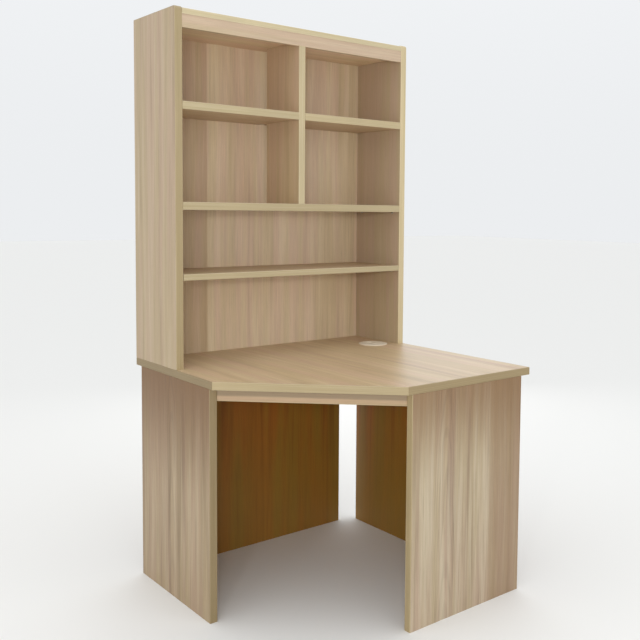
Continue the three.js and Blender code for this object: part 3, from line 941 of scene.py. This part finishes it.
def fluted_dowel(radius, length_of_dowel):
    """A dowel with fine flutes along it and a taper at each end."""
    profile = [(0, 0), (radius - 1, 0), (radius, 1.4), (radius, length_of_dowel - 1.4),
               (radius - 1, length_of_dowel), (0, length_of_dowel)]
    return turn(profile, 8 * FLUTES, FLUTES, FLUTE_DEPTH)


class DESK_OT_fit_shelf_pegs(bpy.types.Operator):
    """Turn the pegs that the two long shelves rest on"""

    bl_idname = "corner_desk.fit_shelf_pegs"
    bl_label = "Fit Shelf Pegs"

    def execute(self, context):
        steel = plated_steel("nickel plate")
        for name in sorted(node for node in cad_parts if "_peg_" in node):
            low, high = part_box(name)
            middle = (low + high) / 2
            side = "hutch_left_side" if "_left_" in name else "hutch_right_side"
            inward = 1 if "_left_" in name else -1
            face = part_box(side)[1].x if inward > 0 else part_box(side)[0].x
            pin_reach, head_reach = sorted((abs(low.x - face), abs(high.x - face)), reverse=True)
            head = (high.z - low.z) / 2
            peg = shelf_peg(head / MM - 0.5, head / MM, pin_reach / MM, head_reach / MM)
            where = aimed((face, middle.y, middle.z), (inward, 0, 0))
            add_piece(f"{name}_turned", peg, where, steel, "root", name)
        return {"FINISHED"}


class DESK_OT_fit_cams(bpy.types.Operator):
    """Make the cams and cam bolts that pull the knee boards to the legs"""

    bl_idname = "corner_desk.fit_cams"
    bl_label = "Fit Cams"

    def execute(self, context):
        cast = plated_steel("cast cam")
        rolled = plated_steel("rolled bolt")
        low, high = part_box("left_cam")
        bolt_low, bolt_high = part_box("left_cam_bolt")
        centre = (low + high) / 2
        bolt_centre = (bolt_low + bolt_high) / 2
        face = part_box("left_leg_panel")[1].x
        disc_place = Matrix.Translation((centre.x, low.y, centre.z)) @ Matrix.Rotation(math.pi / 2, 4, "X")
        bolt_place = aimed((face, bolt_centre.y, bolt_centre.z), (1, 0, 0))
        for side, wing in WINGS:
            disc = cam_disc((high.x - low.x) / 2 / MM, (high.y - low.y) / MM)
            add_piece(f"{side}_cam_cast", disc, disc_place, cast, "root", f"{side}_cam", wing)
            bolt = cam_bolt((bolt_high.z - bolt_low.z) / 2 / MM, (face - bolt_low.x) / MM,
                            (bolt_high.x - face) / MM)
            add_piece(f"{side}_cam_bolt_rolled", bolt, bolt_place, rolled, "root",
                      f"{side}_cam_bolt", wing)
        return {"FINISHED"}


class DESK_OT_fit_blocks(bpy.types.Operator):
    """Mould the joint blocks and drive their screws"""

    bl_idname = "corner_desk.fit_blocks"
    bl_label = "Fit Joint Blocks"

    def execute(self, context):
        look = context.scene.corner_desk_fittings
        plastic = moulded_plastic("block plastic", look.block)
        steel = plated_steel("zinc screw")
        for end in ("front", "rear"):
            low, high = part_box(f"left_{end}_block")
            for side, wing in WINGS:
                name = f"{side}_{end}_block"
                block, screws = joint_block(low, high, look.screw_radius / MM, look.screw_rise / MM)
                add_piece(f"{name}_moulding", block, AS_MADE, plastic, "root", name, wing)
                for number, screw in enumerate(screws, 1):
                    add_piece(f"{name}_screw_{number}", screw, AS_MADE, steel, wing=wing)
        return {"FINISHED"}


def joint_block(low, high, head_radius, head_rise):
    """A block in the left corner under the worktop, and its two screws, all in the desk's axes."""
    size = (high - low) / MM
    section = [(0, 0), (size.x - BLOCK_CHAMFER, 0), (size.x, BLOCK_CHAMFER), (size.x, size.z), (0, size.z)]
    block = extrude(section, 0, size.y, bevel=0.6)
    block.transform(SWAP_Y_AND_Z)
    block.flip_normals()
    into_leg = (Vector((size.x, size.y / 4, size.z / 2)), Vector((1, 0, 0)), size.x)
    into_worktop = (Vector((size.x / 2, size.y * 3 / 4, 0)), Vector((0, 0, -1)), size.z)
    wide = head_radius + HEAD_CLEARANCE
    narrow = SCREW_SHANK + HEAD_CLEARANCE
    screws = []
    for start, outward, depth in (into_leg, into_worktop):
        sink = turn([(0, -HEAD_SINK), (wide, -HEAD_SINK), (wide, 6), (0, 6)], 48)
        bore = turn([(0, -depth - 2), (narrow, -depth - 2), (narrow, 0), (0, 0)], 32)
        for cutter in (sink, bore):
            cutter.transform(aimed(start * MM, outward))
            block = carve(block, cutter)
        screw = pan_head_screw(head_radius, head_rise, depth - HEAD_SINK - 0.5)
        seat = start - outward * (HEAD_SINK - SCREW_STANDOFF)
        screw.transform(Matrix.Translation(low) @ aimed(seat * MM, outward))
        screws.append(screw)
    block.transform(Matrix.Translation(low))
    return block, screws


class DESK_OT_fit_brackets(bpy.types.Operator):
    """Plate the rail's brackets and put a screw head on each flange"""

    bl_idname = "corner_desk.fit_brackets"
    bl_label = "Fit Rail Brackets"

    def execute(self, context):
        look = context.scene.corner_desk_fittings
        plate = plated_steel("zinc plate")
        steel = plated_steel("bracket screw")
        low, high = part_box("rail_bracket_left")
        flange = BRACKET_FLANGE * MM
        proud = (BRACKET_THICKNESS + SCREW_STANDOFF) * MM
        corner = Vector((low.x, high.y - flange, (low.z + high.z) / 2))
        flanges = {
            "leg": (Vector((0, 1, 0)), Vector((1, 0, 0))),
            "rail": (Vector((1, -1, 0)).normalized(), Vector((1, 1, 0)).normalized()),
        }
        for side, wing in WINGS:
            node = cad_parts[f"rail_bracket_{side}"]
            wear(node, plate)
            rounded = node.modifiers.new("Rolled edges", "BEVEL")
            rounded.width = BRACKET_EDGE_RADIUS * MM
            rounded.segments = 2
            for part, (along, outward) in flanges.items():
                place = corner + along * flange * SCREW_ALONG_FLANGE + outward * proud
                screw = pan_head_screw(look.screw_radius / MM, look.screw_rise / MM, STUB)
                add_piece(f"rail_bracket_{side}_{part}_screw", screw, aimed(place, outward), steel,
                          wing=wing)
        return {"FINISHED"}


class DESK_OT_fit_dowels(bpy.types.Operator):
    """Turn the fluted dowels between the hutch and the worktop"""

    bl_idname = "corner_desk.fit_dowels"
    bl_label = "Fit Dowels"

    def execute(self, context):
        beech = turned_beech("dowel beech", context.scene.corner_desk_fittings.beech)
        for name in sorted(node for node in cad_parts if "_dowel_" in node):
            low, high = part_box(name)
            dowel = fluted_dowel((high.x - low.x) / 2 / MM, (high.z - low.z) / MM)
            where = Matrix.Translation(((low.x + high.x) / 2, (low.y + high.y) / 2, low.z))
            add_piece(f"{name}_fluted", dowel, where, beech, "root", name)
        return {"FINISHED"}


# ---- Stage ----

FLOOR_REACH = 30.0
SENSOR_WIDTH = 36
CAMERA_SHIFT = (-0.134, -0.0816)
# Each lamp: its place, what it is aimed at, its width and height and its power in watts.
DESK_MIDDLE = (0.0, 0.2, 1.1)
LAMPS = {
    "camera_lamp": ((-2.3, -3.0, 1.5), DESK_MIDDLE, 0.4, 0.4, 18.4),
    "left_lamp": ((-2.65, -2.45, 1.45), DESK_MIDDLE, 0.12, 0.12, 12),
    "overhead_lamp": ((0.0, -0.6, 4.2), (0.0, 0.0, 0.7), 2.0, 2.0, 8),
    "rear_lamp": ((1.9, 2.3, 1.35), (0.3, 0.0, 0.74), 2.2, 1.8, 9),
}


def make_floor(look):
    """A floor wide enough to fill every view."""
    mesh = bpy.data.meshes.new("studio_floor")
    corners = [(x * FLOOR_REACH, y * FLOOR_REACH, 0) for x, y in ((-1, -1), (1, -1), (1, 1), (-1, 1))]
    mesh.from_pydata(corners, [], [(0, 1, 2, 3)])
    floor = bpy.data.objects.new("studio_floor", mesh)
    bpy.context.scene.collection.objects.link(floor)
    wear(floor, new_net("studio floor").surface(look.floor, 0.7))


def make_sky(look):
    """Even light from all round, rather stronger from above."""
    net = Net(bpy.data.worlds.new("studio sky"))
    height = net.split(net.node("ShaderNodeTexCoord", output="Generated"))["Z"]
    strength = height.rise(0, 1) * (look.zenith - look.horizon) + look.horizon
    light = net.node("ShaderNodeBackground", sockets={"Color": look.sky, "Strength": strength})
    net.node("ShaderNodeOutputWorld", sockets={"Surface": light})
    bpy.context.scene.world = net.owner


def make_lamp(name, place, target, width, height, watts):
    """A soft rectangular light aimed at a point."""
    data = bpy.data.lights.new(name, "AREA")
    data.shape = "RECTANGLE"
    data.size = width
    data.size_y = height
    data.energy = watts
    lamp = bpy.data.objects.new(name, data)
    lamp.location = place
    lamp.rotation_mode = "QUATERNION"
    lamp.rotation_quaternion = (Vector(target) - Vector(place)).to_track_quat("-Z", "Y")
    bpy.context.scene.collection.objects.link(lamp)


def make_camera(look):
    """The camera that the stage's settings place and aim."""
    data = bpy.data.cameras.new("studio_camera")
    data.sensor_width = SENSOR_WIDTH
    data.lens = look.lens
    data.shift_x, data.shift_y = CAMERA_SHIFT
    camera = bpy.data.objects.new("studio_camera", data)
    camera.location = (
        look.camera_distance * math.sin(look.camera_azimuth),
        -look.camera_distance * math.cos(look.camera_azimuth),
        look.camera_height)
    level = math.cos(look.camera_pitch)
    ahead = Vector((
        level * math.sin(look.camera_heading),
        level * math.cos(look.camera_heading),
        math.sin(look.camera_pitch)))
    camera.rotation_mode = "QUATERNION"
    lean = Matrix.Rotation(look.camera_roll, 3, "Z").to_quaternion()
    camera.rotation_quaternion = ahead.to_track_quat("-Z", "Y") @ lean
    bpy.context.scene.collection.objects.link(camera)
    bpy.context.scene.camera = camera


class DESK_OT_set_stage(bpy.types.Operator):
    """Set up the floor, lights and camera"""

    bl_idname = "corner_desk.set_stage"
    bl_label = "Set Stage"

    def execute(self, context):
        look = context.scene.corner_desk_stage
        context.scene.view_settings.view_transform = "Standard"
        make_floor(look)
        make_sky(look)
        for name, row in LAMPS.items():
            make_lamp(name, *row)
        make_camera(look)
        return {"FINISHED"}


# ---- Add-on ----

OPERATORS = (
    DESK_OT_set_stage,
    DESK_OT_print_desk_boards,
    DESK_OT_print_hutch_boards,
    DESK_OT_finish_edge_bands,
    DESK_OT_fit_cable_port,
    DESK_OT_fit_shelf_pegs,
    DESK_OT_fit_cams,
    DESK_OT_fit_blocks,
    DESK_OT_fit_brackets,
    DESK_OT_fit_dowels,
)


class DESK_PT_corner_desk(bpy.types.Panel):
    """Lists the steps that finish the corner desk"""

    bl_idname = "DESK_PT_corner_desk"
    bl_label = "Corner Desk"
    bl_space_type = "VIEW_3D"
    bl_region_type = "UI"
    bl_category = "Corner Desk"

    def draw(self, context):
        for operator in OPERATORS:
            self.layout.operator(operator.bl_idname)
        for name, group in SETTING_GROUPS.items():
            box = self.layout.box()
            for setting in group.__annotations__:
                box.prop(getattr(context.scene, name), setting)


def register():
    for name, group in SETTING_GROUPS.items():
        bpy.utils.register_class(group)
        setattr(bpy.types.Scene, name, PointerProperty(type=group))
    for operator in OPERATORS:
        bpy.utils.register_class(operator)
    bpy.utils.register_class(DESK_PT_corner_desk)


def unregister():
    bpy.utils.unregister_class(DESK_PT_corner_desk)
    for operator in reversed(OPERATORS):
        bpy.utils.unregister_class(operator)
    for name, group in SETTING_GROUPS.items():
        delattr(bpy.types.Scene, name)
        bpy.utils.unregister_class(group)


def main():
    register()
    bpy.ops.corner_desk.set_stage()
    bpy.ops.corner_desk.print_desk_boards()
    bpy.ops.corner_desk.print_hutch_boards()
    bpy.ops.corner_desk.finish_edge_bands()
    bpy.ops.corner_desk.fit_cable_port()
    bpy.ops.corner_desk.fit_shelf_pegs()
    bpy.ops.corner_desk.fit_cams()
    bpy.ops.corner_desk.fit_blocks()
    bpy.ops.corner_desk.fit_brackets()
    bpy.ops.corner_desk.fit_dowels()


if __name__ == "__main__":
    main()
